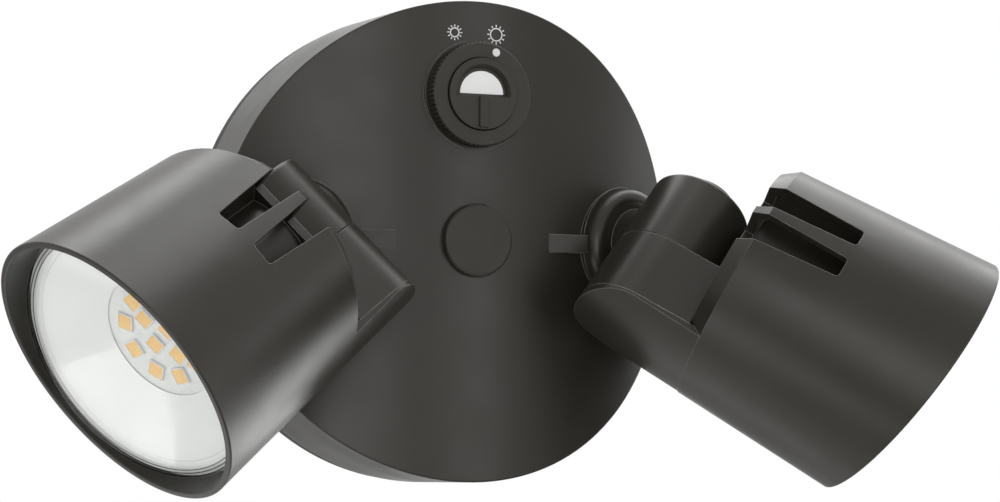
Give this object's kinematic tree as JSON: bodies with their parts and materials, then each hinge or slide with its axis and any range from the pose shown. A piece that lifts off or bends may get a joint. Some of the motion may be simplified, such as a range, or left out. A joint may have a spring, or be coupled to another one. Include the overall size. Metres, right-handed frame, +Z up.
{
  "type": "security flood light",
  "caption": "Wall-mounted twin-head LED security flood light with a round canopy, adjustable round heads, a brightness ring and a photocell shutter.",
  "frame": {"origin": "centre of the canopy's back on the wall", "axes": "+Z up, the front faces -Y, +X to the right seen from the front"},
  "size_m": [0.2974, 0.1412, 0.1496],
  "materials": {
    "bronze_paint": "dark bronze satin powder coat on die-cast aluminium",
    "bronze_plastic": "dark bronze moulded plastic",
    "foam": "closed-cell foam gasket",
    "seal_rubber": "black ring seal",
    "seal_white": "white silicone seal",
    "zinc_steel": "zinc-plated steel",
    "green_screw": "green earth screw",
    "driver_shell": "black driver case",
    "board_green": "green circuit board",
    "board_white": "white solder mask on an aluminium board",
    "component_black": "moulded electronic parts",
    "sensor_clear": "clear sensor",
    "white_diffuser": "white translucent window",
    "led_yellow": "LED packages with yellow phosphor",
    "white_reflector": "glossy white reflector",
    "clear_lens": "clear polycarbonate lens"
  },
  "bodies": {
    "canopy": {"wall_gasket": "foam", "canopy_housing": "bronze_paint", "mounting_crossbar": "zinc_steel", "ground_screw": "green_screw", "canopy_screw": "zinc_steel", "screw_cap": "bronze_plastic", "driver_case": "driver_shell", "driver_board": "board_green", "driver_components": "component_black", "driver_lid": "driver_shell", "driver_screws": "zinc_steel", "control_board": "board_green", "control_board_screws": "zinc_steel", "light_sensor": "sensor_clear", "dimmer_ring": "component_black", "photocell_sleeve": "bronze_plastic", "photocell_lens": "white_diffuser"},
    "brightness_dial": {"brightness_knob": "bronze_plastic", "knob_retainer": "zinc_steel"},
    "shutter": {"photocell_shutter": "bronze_plastic"},
    "arm_right_body": {"arm_right": "bronze_paint", "swivel_oring_right": "seal_rubber", "swivel_washer_right": "zinc_steel", "swivel_nut_right": "zinc_steel"},
    "head_right_body": {"head_shell_right": "bronze_paint", "head_neck_right": "bronze_paint", "neck_screws_right": "zinc_steel", "pivot_washer_right": "zinc_steel", "pivot_bolt_right": "bronze_paint", "led_board_right": "board_white", "led_chips_right": "led_yellow", "led_screws_right": "zinc_steel", "reflector_right": "white_reflector", "lens_gasket_right": "seal_white", "lens_right": "clear_lens"},
    "arm_left_body": {"arm_left": "bronze_paint", "swivel_oring_left": "seal_rubber", "swivel_washer_left": "zinc_steel", "swivel_nut_left": "zinc_steel"},
    "head_left_body": {"head_shell_left": "bronze_paint", "head_neck_left": "bronze_paint", "neck_screws_left": "zinc_steel", "pivot_washer_left": "zinc_steel", "pivot_bolt_left": "bronze_paint", "led_board_left": "board_white", "led_chips_left": "led_yellow", "led_screws_left": "zinc_steel", "reflector_left": "white_reflector", "lens_gasket_left": "seal_white", "lens_left": "clear_lens"}
  },
  "joints": [
    {"name": "brightness_turn", "type": "hinge", "parent": "canopy", "child": "brightness_dial", "pos_m": [0, -0.0513, 0.0442], "axis": [0, -1, 0], "range_deg": [0, 41]},
    {"name": "shutter_turn", "type": "hinge", "parent": "canopy", "child": "shutter", "pos_m": [0, -0.0513, 0.0442], "axis": [0, -1, 0], "range_deg": [0, 180]},
    {"name": "arm_swivel_right", "type": "hinge", "parent": "canopy", "child": "arm_right_body", "pos_m": [0.0542, -0.03966, 0], "axis": [0.3827, -0.9239, 0], "range_deg": [-46, 89]},
    {"name": "head_pan_right", "type": "hinge", "parent": "arm_right_body", "child": "head_right_body", "pos_m": [0.0624, -0.06235, -0.00115], "axis": [0.6418, 0.2658, 0.7193], "range_deg": [-75, 10]},
    {"name": "arm_swivel_left", "type": "hinge", "parent": "canopy", "child": "arm_left_body", "pos_m": [-0.0542, -0.03966, 0], "axis": [-0.3827, -0.9239, 0], "range_deg": [-89, 46]},
    {"name": "head_pan_left", "type": "hinge", "parent": "arm_left_body", "child": "head_left_body", "pos_m": [-0.0624, -0.06235, -0.00115], "axis": [-0.6418, 0.2658, 0.7193], "range_deg": [-10, 75]}
  ]
}
